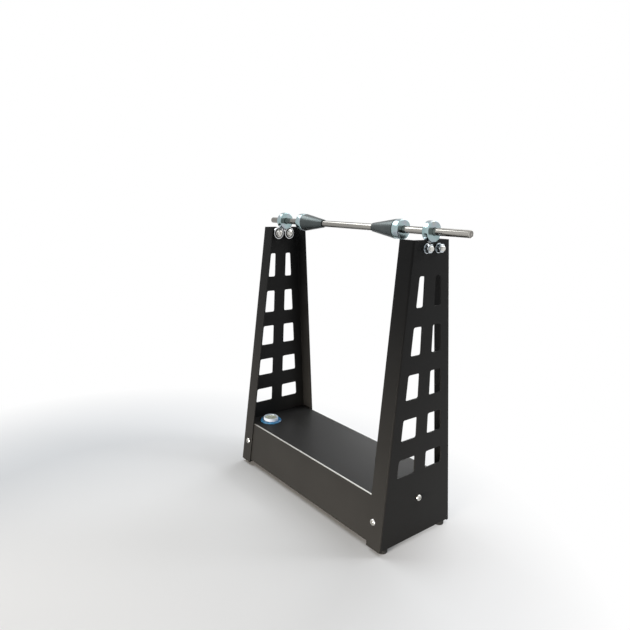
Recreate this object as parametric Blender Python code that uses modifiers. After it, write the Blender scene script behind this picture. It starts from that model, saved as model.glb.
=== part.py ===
"""Motorcycle wheel balancer: a folded steel stand whose four ball bearings carry a free shaft with two cones.

Metres, +Z up. The shaft runs along X, the near end is at +X and the front is at -Y.
The origin lies under the middle of the whole object, on the surface that the feet stand on.
"""

import math

import bmesh
import bpy
from mathutils import Matrix, Vector

# Clearances
TOUCH_GAP = 0.0003
CUT_OVERRUN = 0.004
MERGE_DISTANCE = 0.00001

# Folded sheet
SHEET = 0.002
BEND_RADIUS = 0.003
BEND_STEPS = 3

# Uprights, measured over their outer faces
STAND_LENGTH = 0.393
UPRIGHT_HEIGHT = 0.485
TOP_WIDTH = 0.085
BOTTOM_WIDTH = 0.172
FLANGE_DEPTH = 0.029
LIP_DEPTH = 0.026
LIP_RELIEF = 0.003

# Cut-outs: two columns on either side of a middle rib, rows as shares of the upright's height
RIB_WIDTH = 0.026
WINDOW_MARGIN = 0.022
WINDOW_CORNER = 0.003
WINDOW_CORNER_STEPS = 3
WINDOW_ROW_SHARES = ((0.232, 0.290), (0.352, 0.422), (0.485, 0.568), (0.629, 0.722), (0.784, 0.885))

# Base channel
BASE_HEIGHT = 0.081
BASE_LIFT = 0.005
TAB_WIDTH = 0.080
TAB_DROP = 0.030
END_RELIEF = 0.001

# Panel screws and the nuts pressed into the base for them
SCREW_RADIUS = 0.003
SCREW_LENGTH = 0.009
SCREW_HEAD_OVERHANG = 0.0024
SCREW_HEAD_HEIGHT = 0.0033
SCREW_SOCKET_RADIUS = 0.0023
SCREW_SOCKET_DEPTH = 0.0021
PRESS_NUT_WALL = 0.0017
PRESS_NUT_HEIGHT = 0.003
PLATE_SCREW_DROP = 0.015
FLANGE_SCREW_DROP = 0.039
FLANGE_SCREW_INSET = 0.0187

# Feet, each with a screw whose head is sunk into it
FOOT_HEIGHT = 0.006
FOOT_RADIUS = 0.009
FOOT_ROUNDING = 0.001
FOOT_SIDE_INSET = 0.010
FOOT_END_INSET = 0.016
FOOT_SCREW_RADIUS = 0.002
FOOT_SCREW_HEAD_OVERHANG = 0.002
FOOT_SCREW_HEAD_HEIGHT = 0.0022
FOOT_SCREW_HEAD_CLEARANCE = 0.0008
FOOT_SCREW_HEAD_SUNK = 0.0009
FOOT_SCREW_REACH = 0.003

# Ball bearings
BEARING_RADIUS = 0.012
BEARING_WIDTH = 0.008
BEARING_CHAMFER = 0.0004
BEARING_LAND = 0.0018
SEAL_RECESS = 0.0004
INNER_RING_WALL = 0.0017
BEARING_SIDE_GAP = 0.0037
BEARING_DROP = 0.013

# Bearing bolts with a flange under the head, and their nuts, washers and spacers
BOLT_RADIUS = 0.004
BOLT_HEAD_OVERHANG = 0.0028
BOLT_HEAD_HEIGHT = 0.0044
BOLT_FLANGE_OVERHANG = 0.004
BOLT_FLANGE_HEIGHT = 0.0016
BOLT_SOCKET_RADIUS = 0.0029
BOLT_SOCKET_DEPTH = 0.0027
BOLT_REACH = 0.0035
NUT_WALL = 0.0022
NUT_HEIGHT = 0.0065
WASHER_WALL = 0.0037
WASHER_HEIGHT = 0.0016
SPACER_WALL = 0.0015
SPACER_HEIGHT = 0.0015

# Shaft with its support rings
ROD_RADIUS = 0.006
ROD_NEAR_REACH = 0.068
ROD_FAR_REACH = 0.029
ROD_CHAMFER = 0.001
RING_WALL = 0.0107
RING_WIDTH = 0.012
RING_CHAMFER = 0.002
NOTCH_CLEARANCE = 0.002
SHAFT_SHIFT = 0.0052

# Centring cones with their collars
CONE_LENGTH = 0.054
CONE_TIP_WALL = 0.0014
CONE_SPREAD = 0.0088
CONE_LAND = 0.002
CONE_RIM = 0.0005
COLLAR_WIDTH = 0.014
COLLAR_FROM_RING = 0.049

# Set screws of the rings and the collars
SET_SCREW_RADIUS = 0.0027
SET_SCREW_SUNK = 0.001
SET_SOCKET_WALL = 0.0011
SET_SOCKET_DEPTH = 0.0025

# Spirit level
LEVEL_END_GAP = 0.010
LEVEL_SIDE_GAP = 0.0171
LEVEL_FLANGE_WIDTH = 0.0062
LEVEL_FLANGE_HEIGHT = 0.0026
LEVEL_FLANGE_RIM = 0.0012
LEVEL_BODY_RADIUS = 0.015
LEVEL_BODY_HEIGHT = 0.008
LEVEL_WALL = 0.0024
LEVEL_FLOOR = 0.002
LEVEL_VIAL_CROWN = 0.0007

# Facets round a full circle, and the angle past which an edge stays sharp
BIG_FACETS = 28
BEARING_FACETS = 20
SMALL_FACETS = 12
SMOOTH_ANGLE = math.radians(35)
QUARTER = math.pi / 2

# The stand's two ends and two sides, each with the sign of its direction along X or Y
ENDS = (("near", 1), ("far", -1))
SIDES = (("_front", -1), ("_back", 1))

# Colour, roughness and metallic of each finish
FINISHES = {
    "powder_coat": ((0.030, 0.029, 0.028), 0.45, 0.0),
    "zinc": ((0.62, 0.66, 0.72), 0.28, 1.0),
    "stainless": ((0.62, 0.60, 0.56), 0.22, 1.0),
    "bearing_steel": ((0.55, 0.56, 0.57), 0.20, 1.0),
    "turned_steel": ((0.24, 0.25, 0.26), 0.35, 1.0),
    "rubber": ((0.015, 0.015, 0.015), 0.80, 0.0),
    "blue_plastic": ((0.04, 0.20, 0.45), 0.35, 0.0),
    "level_silver": ((0.80, 0.82, 0.86), 0.30, 0.6),
    "vial": ((0.80, 0.84, 0.62), 0.10, 0.0),
}

# Places that follow from the sizes above, in the stand's own frame: its zero is under the uprights
half_length = STAND_LENGTH / 2
base_inset = SHEET + TOUCH_GAP
tab_face = half_length - SHEET - TOUCH_GAP
base_end = tab_face - END_RELIEF
taper_angle = math.atan((BOTTOM_WIDTH - TOP_WIDTH) / 2 / UPRIGHT_HEIGHT)
screw_bore = SCREW_RADIUS + TOUCH_GAP
bolt_bore = BOLT_RADIUS + TOUCH_GAP
rod_bore = ROD_RADIUS + TOUCH_GAP
inner_ring_radius = bolt_bore + INNER_RING_WALL
nut_flats = 2 * (bolt_bore + NUT_WALL)
ring_radius = rod_bore + RING_WALL
cone_small_radius = rod_bore + CONE_TIP_WALL
cone_big_radius = cone_small_radius + CONE_SPREAD
bearing_height = UPRIGHT_HEIGHT - BEARING_DROP
bearing_spacing = 2 * BEARING_RADIUS + BEARING_SIDE_GAP
roll_distance = ring_radius + BEARING_RADIUS + TOUCH_GAP
shaft_height = bearing_height + math.sqrt(roll_distance**2 - (bearing_spacing / 2) ** 2)
rod_length = ROD_FAR_REACH + STAND_LENGTH + ROD_NEAR_REACH
plate_screw_height = BASE_HEIGHT - PLATE_SCREW_DROP
flange_screw_height = BASE_HEIGHT - FLANGE_SCREW_DROP
stack_depth = SHEET + TOUCH_GAP + SPACER_HEIGHT + TOUCH_GAP
bearing_middle = stack_depth + BEARING_WIDTH / 2
head_seat = stack_depth + BEARING_WIDTH + TOUCH_GAP
nut_top = TOUCH_GAP + WASHER_HEIGHT + TOUCH_GAP + NUT_HEIGHT
nut_corner = nut_flats / 2 / math.cos(math.pi / 6)
foot_place = BOTTOM_WIDTH / 2 - FOOT_END_INSET
foot_screw_head_radius = FOOT_SCREW_RADIUS + FOOT_SCREW_HEAD_OVERHANG
foot_recess_radius = foot_screw_head_radius + FOOT_SCREW_HEAD_CLEARANCE
foot_recess_depth = FOOT_SCREW_HEAD_SUNK + FOOT_SCREW_HEAD_HEIGHT + TOUCH_GAP
level_flange_radius = LEVEL_BODY_RADIUS + TOUCH_GAP + LEVEL_FLANGE_WIDTH

# The whole object's middle lies half-way along the rod, so the stand is moved to suit
stand_x = (ROD_FAR_REACH - ROD_NEAR_REACH) / 2
stand_z = FOOT_HEIGHT + TOUCH_GAP


def half_width(height):
    """Half of an upright's outer width at a height above its lower edge."""
    return (BOTTOM_WIDTH - (BOTTOM_WIDTH - TOP_WIDTH) * height / UPRIGHT_HEIGHT) / 2


def clear_scene():
    for obj in list(bpy.data.objects):
        bpy.data.objects.remove(obj, do_unlink=True)


def new_collection(name):
    collection = bpy.data.collections.new(name)
    bpy.context.scene.collection.children.link(collection)
    return collection


def finish_material(node, finish):
    """A material of its own for one node, from the table of finishes."""
    colour, roughness, metallic = FINISHES[finish]
    material = bpy.data.materials.new(node + "_" + finish)
    material.use_nodes = True
    shader = material.node_tree.nodes["Principled BSDF"]
    shader.inputs["Base Color"].default_value = (*colour, 1)
    shader.inputs["Roughness"].default_value = roughness
    shader.inputs["Metallic"].default_value = metallic
    material.diffuse_color = (*colour, 1)
    return material


def mesh_from(bm, name):
    mesh = bpy.data.meshes.new(name)
    bm.to_mesh(mesh)
    bm.free()
    mesh.shade_smooth()
    mesh.set_sharp_from_angle(angle=SMOOTH_ANGLE)
    return mesh


def place_under(obj, parent, frame):
    """Link an object into the parts and give it its place in its parent's frame."""
    parts.objects.link(obj)
    obj.parent = parent
    obj.location = frame.translation
    obj.rotation_euler = frame.to_euler()
    return obj


def add_empty(name, parent, frame):
    return place_under(bpy.data.objects.new(name, None), parent, frame)


def add_piece(name, mesh, finish, parent, frame=Matrix()):
    """A node: an object with this mesh, its finish on the object itself, placed under its parent."""
    if not mesh.materials:
        mesh.materials.append(None)
    piece = place_under(bpy.data.objects.new(name, mesh), parent, frame)
    piece.material_slots[0].link = "OBJECT"
    piece.material_slots[0].material = finish_material(name, finish)
    return piece


def combine(piece, mesh, operation="DIFFERENCE"):
    """A Boolean with a mesh in the piece's own frame."""
    helper = bpy.data.objects.new(piece.name + "_" + mesh.name, mesh)
    cutters.objects.link(helper)
    helper.parent = piece
    helper.hide_render = True
    helper.display_type = "WIRE"
    boolean = piece.modifiers.new(mesh.name, "BOOLEAN")
    boolean.operation = operation
    boolean.solver = "EXACT"
    boolean.object = helper
    return helper


def turned_mesh(name, profile, closed=False):
    """The radius and height of each corner, down the outer side, as a line for a Screw modifier."""
    bm = bmesh.new()
    corners = [bm.verts.new((radius, 0, height)) for radius, height in profile]
    for first, second in zip(corners, corners[1:]):
        bm.edges.new((first, second))
    if closed:
        bm.edges.new((corners[-1], corners[0]))
    mesh = bpy.data.meshes.new(name)
    bm.to_mesh(mesh)
    bm.free()
    return mesh


def revolve(piece, facets):
    screw = piece.modifiers.new("turned", "SCREW")
    screw.axis = "Z"
    screw.steps = facets
    screw.render_steps = facets
    screw.use_merge_vertices = True
    screw.merge_threshold = MERGE_DISTANCE
    return piece


def rod_mesh(name, radius, low, high, facets=SMALL_FACETS, across=Matrix()):
    """A plain round bar along its local Z, for cutters and pressed nuts."""
    bm = bmesh.new()
    add_bar(bm, radius, low, high, facets, across)
    return mesh_from(bm, name)


def add_bar(bm, radius, low, high, facets, across):
    middle = Matrix.Translation((0, 0, (low + high) / 2))
    bmesh.ops.create_cone(
        bm,
        cap_ends=True,
        segments=facets,
        radius1=radius,
        radius2=radius,
        depth=high - low,
        matrix=across @ middle,
    )


def arc_points(centre, radius, start, end, steps):
    """Points on an arc in a plane, its ends included."""
    angles = [start + (end - start) * step / steps for step in range(steps + 1)]
    return [(centre[0] + radius * math.cos(a), centre[1] + radius * math.sin(a)) for a in angles]


def add_line(bm, points):
    """An open line of edges through the points."""
    corners = [bm.verts.new(point) for point in points]
    return [bm.edges.new(pair) for pair in zip(corners, corners[1:])]


def extrude_line(bm, edges, place):
    """Extrude edges into a wall, each new corner put where place says, and return the new line."""
    grown = bmesh.ops.extrude_edge_only(bm, edges=edges)["geom"]
    corners = {item for item in grown if isinstance(item, bmesh.types.BMVert)}
    for corner in corners:
        corner.co = place(corner.co)
    return [e for e in grown if isinstance(e, bmesh.types.BMEdge) and corners.issuperset(e.verts)]


def middle_edge(edges):
    """The edge whose middle lies on the object's middle plane."""
    return min(edges, key=lambda edge: abs(edge.verts[0].co.y + edge.verts[1].co.y))


def fold_tongue(bm, edge, centre, angle, reach):
    """Fold a tongue of sheet from an edge round a bend's centre, then run it straight on."""
    last = bmesh.ops.spin(
        bm,
        geom=[edge, *edge.verts],
        cent=centre,
        axis=(0, 1, 0),
        angle=angle,
        steps=BEND_STEPS,
        use_duplicate=False,
    )["geom_last"]
    folded = [item for item in last if isinstance(item, bmesh.types.BMEdge)]
    extrude_line(bm, folded, lambda corner: corner + Vector(reach))


def fold_ends(bm, line, tongue_edge, place):
    """Run a folded wall on to its end on both sides of a tongue, which stays free of it."""
    extrude_line(bm, [edge for edge in line if edge is not tongue_edge], place)


def sheet_mesh(bm, name, outward):
    """The sheet's outer skin as a mesh, its faces turned so that the widest one looks outward."""
    bmesh.ops.recalc_face_normals(bm, faces=bm.faces)
    widest = max(bm.faces, key=lambda face: face.calc_area())
    if widest.normal.dot(Vector(outward)) < 0:
        bmesh.ops.reverse_faces(bm, faces=bm.faces)
    return mesh_from(bm, name)


def thicken(piece):
    """Give a sheet's outer skin its thickness, inwards."""
    solidify = piece.modifiers.new("sheet", "SOLIDIFY")
    solidify.thickness = SHEET
    solidify.offset = -1
    solidify.use_even_offset = True


def upright_mesh():
    """The outer skin of one upright: a plate at x = 0, tapered flanges towards -X and a lip below."""
    half = half_width(BEND_RADIUS)
    bend = half - BEND_RADIUS
    lip = bend - LIP_RELIEF
    front = arc_points((-BEND_RADIUS, -bend), BEND_RADIUS, -QUARTER, 0, BEND_STEPS)
    back = arc_points((-BEND_RADIUS, bend), BEND_RADIUS, 0, QUARTER, BEND_STEPS)
    section = [(-FLANGE_DEPTH, -half), *front, (0, -lip), (0, lip), *back, (-FLANGE_DEPTH, half)]

    def at_height(height):
        lean = half_width(height) - half
        return lambda corner: Vector((corner.x, corner.y + lean * math.copysign(1, corner.y), height))

    bm = bmesh.new()
    line = add_line(bm, [(x, y, BEND_RADIUS) for x, y in section])
    extrude_line(bm, line, at_height(UPRIGHT_HEIGHT))
    tongue = middle_edge(line)
    fold_ends(bm, line, tongue, at_height(0))
    centre = (-BEND_RADIUS, 0, BEND_RADIUS)
    fold_tongue(bm, tongue, centre, QUARTER, (BEND_RADIUS - LIP_DEPTH, 0, 0))
    return sheet_mesh(bm, "upright", (1, 0, 0))


def window_mesh():
    """Cutters for the rows of cut-outs: their inner sides are upright, their outer sides follow the taper."""
    bm = bmesh.new()
    for low_share, high_share in WINDOW_ROW_SHARES:
        low, high = low_share * UPRIGHT_HEIGHT, high_share * UPRIGHT_HEIGHT
        for side in (-1, 1):
            add_window(bm, low, high, side)
    bmesh.ops.recalc_face_normals(bm, faces=bm.faces)
    return mesh_from(bm, "windows")


def add_window(bm, low, high, side):
    inner = RIB_WIDTH / 2
    outline = [
        (inner, low),
        (half_width(low) - WINDOW_MARGIN, low),
        (half_width(high) - WINDOW_MARGIN, high),
        (inner, high),
    ]
    corners = [bm.verts.new((CUT_OVERRUN, side * y, z)) for y, z in outline]
    bm.faces.new(corners)
    rounded = bmesh.ops.bevel(
        bm,
        geom=corners,
        offset=WINDOW_CORNER,
        segments=WINDOW_CORNER_STEPS,
        profile=0.5,
        affect="VERTICES",
        material=-1,
    )
    face = rounded["verts"][0].link_faces[0]
    grown = bmesh.ops.extrude_face_region(bm, geom=[face])["geom"]
    moved = [item for item in grown if isinstance(item, bmesh.types.BMVert)]
    bmesh.ops.translate(bm, verts=moved, vec=(-SHEET - 2 * CUT_OVERRUN, 0, 0))


def along_x(y, z):
    """A frame whose Z runs along X, at a place on an upright's plate."""
    return Matrix.Translation((0, y, z)) @ Matrix.Rotation(QUARTER, 4, "Y")


def off_flange(x, side, height, inset=0):
    """A frame whose Z stands square off a slanted side, at a height, an inset inside the flange."""
    place = Matrix.Translation((x, side * (half_width(height) - inset), height))
    return place @ Matrix.Rotation(-side * (QUARTER - taper_angle), 4, "X")


def upright_hole_mesh():
    """Cutters for everything that goes through an upright: bolts, screws, feet and the ring's notch."""
    bm = bmesh.new()
    low, high = -SHEET - CUT_OVERRUN, CUT_OVERRUN
    for side in (-1, 1):
        bolt = along_x(side * bearing_spacing / 2, bearing_height)
        add_bar(bm, bolt_bore, low, high, SMALL_FACETS, bolt)
        flange = off_flange(-FLANGE_SCREW_INSET, side, flange_screw_height)
        add_bar(bm, screw_bore, low, high, SMALL_FACETS, flange)
        foot = Matrix.Translation((-FOOT_SIDE_INSET, side * foot_place, 0))
        add_bar(bm, FOOT_SCREW_RADIUS + TOUCH_GAP, -CUT_OVERRUN, SHEET + CUT_OVERRUN, SMALL_FACETS, foot)
    screw = along_x(0, plate_screw_height)
    add_bar(bm, screw_bore, low, high, SMALL_FACETS, screw)
    notch = along_x(0, shaft_height)
    add_bar(bm, ring_radius + NOTCH_CLEARANCE, low, high, BIG_FACETS, notch)
    return mesh_from(bm, "holes")


def base_mesh():
    """The outer skin of the base channel: a top, two slanted skirts and a tab folded down at each end."""
    start = tab_face - BEND_RADIUS
    top = half_width(BASE_HEIGHT) - base_inset
    bottom = half_width(BASE_LIFT) - base_inset
    turn = QUARTER - taper_angle
    run = BEND_RADIUS * math.tan(turn / 2)
    centre = (run - top, BASE_HEIGHT - BEND_RADIUS)
    front = arc_points(centre, BEND_RADIUS, QUARTER + turn, QUARTER, BEND_STEPS)
    tab = TAB_WIDTH / 2
    half_section = [(-bottom, BASE_LIFT), *front, (-tab, BASE_HEIGHT)]
    section = half_section + [(-y, z) for y, z in reversed(half_section)]
    bm = bmesh.new()
    far_line = add_line(bm, [(-start, y, z) for y, z in section])
    near_line = extrude_line(bm, far_line, lambda corner: Vector((start, corner.y, corner.z)))
    for line, side in ((near_line, 1), (far_line, -1)):
        tongue = middle_edge(line)
        fold_ends(bm, line, tongue, lambda corner: Vector((side * base_end, corner.y, corner.z)))
        centre = (side * start, 0, BASE_HEIGHT - BEND_RADIUS)
        fold_tongue(bm, tongue, centre, side * QUARTER, (0, 0, BEND_RADIUS - TAB_DROP))
    return sheet_mesh(bm, "base", (0, 0, 1))


def base_screw_frames():
    """Frames whose Z stands out of the base where its six panel screws go in."""
    for end in (-1, 1):
        facing = Matrix.Rotation(end * QUARTER, 4, "Y")
        yield Matrix.Translation((end * half_length, 0, plate_screw_height)) @ facing
        for side in (-1, 1):
            yield off_flange(end * (half_length - FLANGE_SCREW_INSET), side, flange_screw_height)


def base_screw_mesh(name, radius, low, high):
    """Bars at the six panel screws, for the pressed nuts and for the holes through them."""
    bm = bmesh.new()
    for frame in base_screw_frames():
        add_bar(bm, radius, low, high, SMALL_FACETS, frame)
    return mesh_from(bm, name)


def screw_mesh(name, radius, length, head_radius, head_height, flange=None):
    """A button-head screw's profile, with any flange's radius and height: head up, its seat at zero."""
    flange_radius, rim = flange or (head_radius, head_height / 4)
    crown = head_radius / 2
    dome = [
        (crown + (head_radius - crown) * math.sin(a), rim + (head_height - rim) * math.cos(a))
        for a in (step * QUARTER / BEND_STEPS for step in range(BEND_STEPS + 1))
    ]
    tip = radius / 5
    rest = [(flange_radius, rim)] if flange else []
    rest += [(flange_radius, 0), (radius, 0), (radius, tip - length), (radius - tip, -length), (0, -length)]
    return turned_mesh(name, [(0, head_height), *dome, *rest])


def socket_mesh(name, radius, depth, top):
    """A hexagonal socket, cut down from a screw's top."""
    return rod_mesh(name, radius, top - depth, top + CUT_OVERRUN, facets=6)


def ring_mesh(name, outer, bore, width, chamfer):
    """A plain ring with chamfered edges, centred on its own middle."""
    half = width / 2
    outside = [(outer - chamfer, half), (outer, half - chamfer)]
    inside = [(bore + chamfer / 2, -half), (bore, chamfer / 2 - half)]
    profile = outside + [(radius, -z) for radius, z in reversed(outside)]
    profile += inside + [(radius, -z) for radius, z in reversed(inside)]
    return turned_mesh(name, profile, closed=True)


def washer_mesh(name, outer, bore, height):
    """A flat ring that stands on zero."""
    return turned_mesh(name, [(outer, height), (outer, 0), (bore, 0), (bore, height)], closed=True)


def bearing_mesh():
    """A bearing's outer ring with its two seals, set back from the ring's faces."""
    half = BEARING_WIDTH / 2
    land = BEARING_RADIUS - BEARING_LAND
    seal = inner_ring_radius + TOUCH_GAP
    above = [
        (seal, half - SEAL_RECESS),
        (land, half - SEAL_RECESS),
        (land, half),
        (BEARING_RADIUS - BEARING_CHAMFER, half),
        (BEARING_RADIUS, half - BEARING_CHAMFER),
    ]
    return turned_mesh("outer_ring", above + [(r, -z) for r, z in reversed(above)], closed=True)


def cone_mesh():
    """A centring cone, its small end at zero, with a short parallel land at the big end."""
    profile = [
        (cone_big_radius - CONE_RIM, CONE_LENGTH),
        (cone_big_radius, CONE_LENGTH - CONE_RIM),
        (cone_big_radius, CONE_LENGTH - CONE_LAND),
        (cone_small_radius, 0),
        (rod_bore, 0),
        (rod_bore, CONE_LENGTH),
    ]
    return turned_mesh("cone", profile, closed=True)


def nut_mesh():
    """A hexagonal bar that stands on zero, as high as a nut."""
    return rod_mesh("nut", nut_corner, 0, NUT_HEIGHT, facets=6)


def nut_chamfer_mesh():
    """What a nut's corners are turned down to: both ends are coned, and the flats are left."""
    flats = nut_flats / 2
    slope = (nut_corner - flats) * math.tan(math.pi / 6)
    above = [(0, NUT_HEIGHT), (flats, NUT_HEIGHT), (nut_corner, NUT_HEIGHT - slope)]
    return turned_mesh("chamfer", above + [(r, NUT_HEIGHT - z) for r, z in reversed(above)])


def set_screw_mesh():
    """A headless screw from the rod's surface to just under the ring's, its origin on the rod's axis."""
    return rod_mesh("set_screw", SET_SCREW_RADIUS, rod_bore, ring_radius - SET_SCREW_SUNK)


def foot_mesh():
    """A rubber foot that stands on zero, with a recess below for its screw's head."""
    hole = FOOT_SCREW_RADIUS + TOUCH_GAP
    profile = [
        (FOOT_RADIUS, FOOT_HEIGHT),
        (FOOT_RADIUS, FOOT_ROUNDING),
        (FOOT_RADIUS - FOOT_ROUNDING, 0),
        (foot_recess_radius, 0),
        (foot_recess_radius, foot_recess_depth),
        (hole, foot_recess_depth),
        (hole, FOOT_HEIGHT),
    ]
    return turned_mesh("foot", profile, closed=True)


def level_flange_mesh():
    """The level's flat flange, rounded over at its rim, with room for the body."""
    bore = LEVEL_BODY_RADIUS + TOUCH_GAP
    rim = arc_points(
        (level_flange_radius - LEVEL_FLANGE_RIM, LEVEL_FLANGE_HEIGHT - LEVEL_FLANGE_RIM),
        LEVEL_FLANGE_RIM,
        QUARTER,
        0,
        BEND_STEPS,
    )
    profile = [*rim, (level_flange_radius, 0), (bore, 0), (bore, LEVEL_FLANGE_HEIGHT)]
    return turned_mesh("level_flange", profile, closed=True)


def level_body_mesh():
    """The level's cup, open at the top for the vial."""
    inside = LEVEL_BODY_RADIUS - LEVEL_WALL
    chamfer = LEVEL_WALL / 4
    profile = [
        (0, LEVEL_FLOOR),
        (inside, LEVEL_FLOOR),
        (inside, LEVEL_BODY_HEIGHT),
        (LEVEL_BODY_RADIUS - chamfer, LEVEL_BODY_HEIGHT),
        (LEVEL_BODY_RADIUS, LEVEL_BODY_HEIGHT - chamfer),
        (LEVEL_BODY_RADIUS, 0),
        (0, 0),
    ]
    return turned_mesh("level_body", profile)


def level_vial_mesh():
    """The clear vial, domed on top, that fills the level's cup."""
    radius = LEVEL_BODY_RADIUS - LEVEL_WALL - TOUCH_GAP
    edge = LEVEL_BODY_HEIGHT - LEVEL_VIAL_CROWN
    dome = [
        (radius * share, edge + LEVEL_VIAL_CROWN * (1 - share**2))
        for share in (step / BEND_STEPS for step in range(BEND_STEPS + 1))
    ]
    seat = LEVEL_FLOOR + TOUCH_GAP
    return turned_mesh("level_vial", [*dome, (radius, seat), (0, seat)])


def build_base(stand):
    base = add_piece("base_channel", base_mesh(), "powder_coat", stand)
    thicken(base)
    behind = -base_inset - SHEET
    low, high = behind - PRESS_NUT_HEIGHT, behind + SHEET / 2
    combine(base, base_screw_mesh("press_nuts", screw_bore + PRESS_NUT_WALL, low, high), "UNION")
    combine(base, base_screw_mesh("screw_holes", screw_bore, low - CUT_OVERRUN, TOUCH_GAP))


def build_uprights(stand):
    skin, windows, holes = upright_mesh(), window_mesh(), upright_hole_mesh()
    for name, end in ENDS:
        half_turn = Matrix.Rotation(0 if end > 0 else math.pi, 4, "Z")
        frame = half_turn @ Matrix.Translation((half_length, 0, 0))
        upright = add_piece(name + "_upright", skin, "powder_coat", stand, frame)
        thicken(upright)
        combine(upright, windows)
        combine(upright, holes)


def build_panel_screws(stand):
    head = (SCREW_RADIUS + SCREW_HEAD_OVERHANG, SCREW_HEAD_HEIGHT)
    screw = screw_mesh("panel_screw", SCREW_RADIUS, SCREW_LENGTH, *head)
    socket = socket_mesh("panel_socket", SCREW_SOCKET_RADIUS, SCREW_SOCKET_DEPTH, SCREW_HEAD_HEIGHT)
    names = [
        end + place
        for end in ("far_", "near_")
        for place in ("plate_screw", "front_flange_screw", "back_flange_screw")
    ]
    for name, frame in zip(names, base_screw_frames()):
        seated = frame @ Matrix.Translation((0, 0, TOUCH_GAP))
        piece = revolve(add_piece(name, screw, "stainless", stand, seated), SMALL_FACETS)
        combine(piece, socket)


def build_feet(stand):
    foot = foot_mesh()
    screw_seat = foot_recess_depth - TOUCH_GAP
    length = FOOT_HEIGHT - screw_seat + TOUCH_GAP + SHEET + FOOT_SCREW_REACH
    head = (foot_screw_head_radius, FOOT_SCREW_HEAD_HEIGHT)
    screw = screw_mesh("foot_screw", FOOT_SCREW_RADIUS, length, *head)
    for name, end in ENDS:
        for place, side in SIDES:
            x, y = end * (half_length - FOOT_SIDE_INSET), side * foot_place
            ground = Matrix.Translation((x, y, -stand_z))
            revolve(add_piece(name + place + "_foot", foot, "rubber", stand, ground), SMALL_FACETS)
            upward = ground @ Matrix.Translation((0, 0, screw_seat)) @ Matrix.Rotation(math.pi, 4, "X")
            revolve(add_piece(name + place + "_foot_screw", screw, "zinc", stand, upward), SMALL_FACETS)


def build_bearing_stack(stand, name, end, side):
    """One bearing on its bolt. Local Z points out of the upright, with zero on its outer face."""
    place = Matrix.Translation((end * half_length, side * bearing_spacing / 2, bearing_height))
    axis = add_empty(name + "_bearing_axis", stand, place @ Matrix.Rotation(end * QUARTER, 4, "Y"))

    def seat(part, mesh, finish, height, facets, flip=0):
        frame = Matrix.Translation((0, 0, height)) @ Matrix.Rotation(flip, 4, "X")
        return revolve(add_piece(name + part, mesh, finish, axis, frame), facets)

    washer = washer_mesh("washer", bolt_bore + WASHER_WALL, bolt_bore, WASHER_HEIGHT)
    seat("_washer", washer, "zinc", TOUCH_GAP, SMALL_FACETS)
    spacer = washer_mesh("spacer", bolt_bore + SPACER_WALL, bolt_bore, SPACER_HEIGHT)
    seat("_spacer", spacer, "zinc", TOUCH_GAP - stack_depth, SMALL_FACETS)
    inner = ring_mesh("inner_ring", inner_ring_radius, bolt_bore, BEARING_WIDTH, BEARING_CHAMFER)
    seat("_inner_ring", inner, "bearing_steel", -bearing_middle, SMALL_FACETS)
    seat("_outer_ring", bearing_mesh(), "bearing_steel", -bearing_middle, BEARING_FACETS)
    length = head_seat + nut_top + BOLT_REACH
    head = (BOLT_RADIUS + BOLT_HEAD_OVERHANG, BOLT_HEAD_HEIGHT)
    flange = (BOLT_RADIUS + BOLT_FLANGE_OVERHANG, BOLT_FLANGE_HEIGHT)
    bolt = screw_mesh("bolt", BOLT_RADIUS, length, *head, flange)
    piece = seat("_bolt", bolt, "stainless", -head_seat, SMALL_FACETS, math.pi)
    combine(piece, socket_mesh("bolt_socket", BOLT_SOCKET_RADIUS, BOLT_SOCKET_DEPTH, BOLT_HEAD_HEIGHT))
    nut = add_piece(name + "_nut", nut_mesh(), "zinc", axis, Matrix.Translation((0, 0, nut_top - NUT_HEIGHT)))
    revolve(combine(nut, nut_chamfer_mesh(), "INTERSECT"), SMALL_FACETS)
    combine(nut, rod_mesh("nut_bore", bolt_bore, -CUT_OVERRUN, NUT_HEIGHT + CUT_OVERRUN))


def build_level(stand):
    x = SHEET + LEVEL_END_GAP + level_flange_radius - half_length
    y = base_inset + LEVEL_SIDE_GAP + level_flange_radius - half_width(BASE_HEIGHT)
    seat = Matrix.Translation((x, y, BASE_HEIGHT + TOUCH_GAP))
    revolve(add_piece("level_flange", level_flange_mesh(), "blue_plastic", stand, seat), BIG_FACETS)
    revolve(add_piece("level_body", level_body_mesh(), "level_silver", stand, seat), BIG_FACETS)
    revolve(add_piece("level_vial", level_vial_mesh(), "vial", stand, seat), BIG_FACETS)


def build_clamp_ring(name, shaft, frame, width):
    """A ring clamped on the rod, and the set screw that clamps it."""
    outward = Matrix.Rotation(-QUARTER, 4, "X")
    mesh = ring_mesh("clamp_ring", ring_radius, rod_bore, width, RING_CHAMFER)
    ring = revolve(add_piece(name, mesh, "zinc", shaft, frame), BIG_FACETS)
    hole = SET_SCREW_RADIUS + TOUCH_GAP
    combine(ring, rod_mesh("screw_hole", hole, 0, ring_radius + CUT_OVERRUN, across=outward))
    screw = add_piece(name + "_set_screw", set_screw_mesh(), "stainless", shaft, frame @ outward)
    top = ring_radius - SET_SCREW_SUNK
    combine(screw, socket_mesh("set_socket", SET_SCREW_RADIUS - SET_SOCKET_WALL, SET_SOCKET_DEPTH, top))


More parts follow.
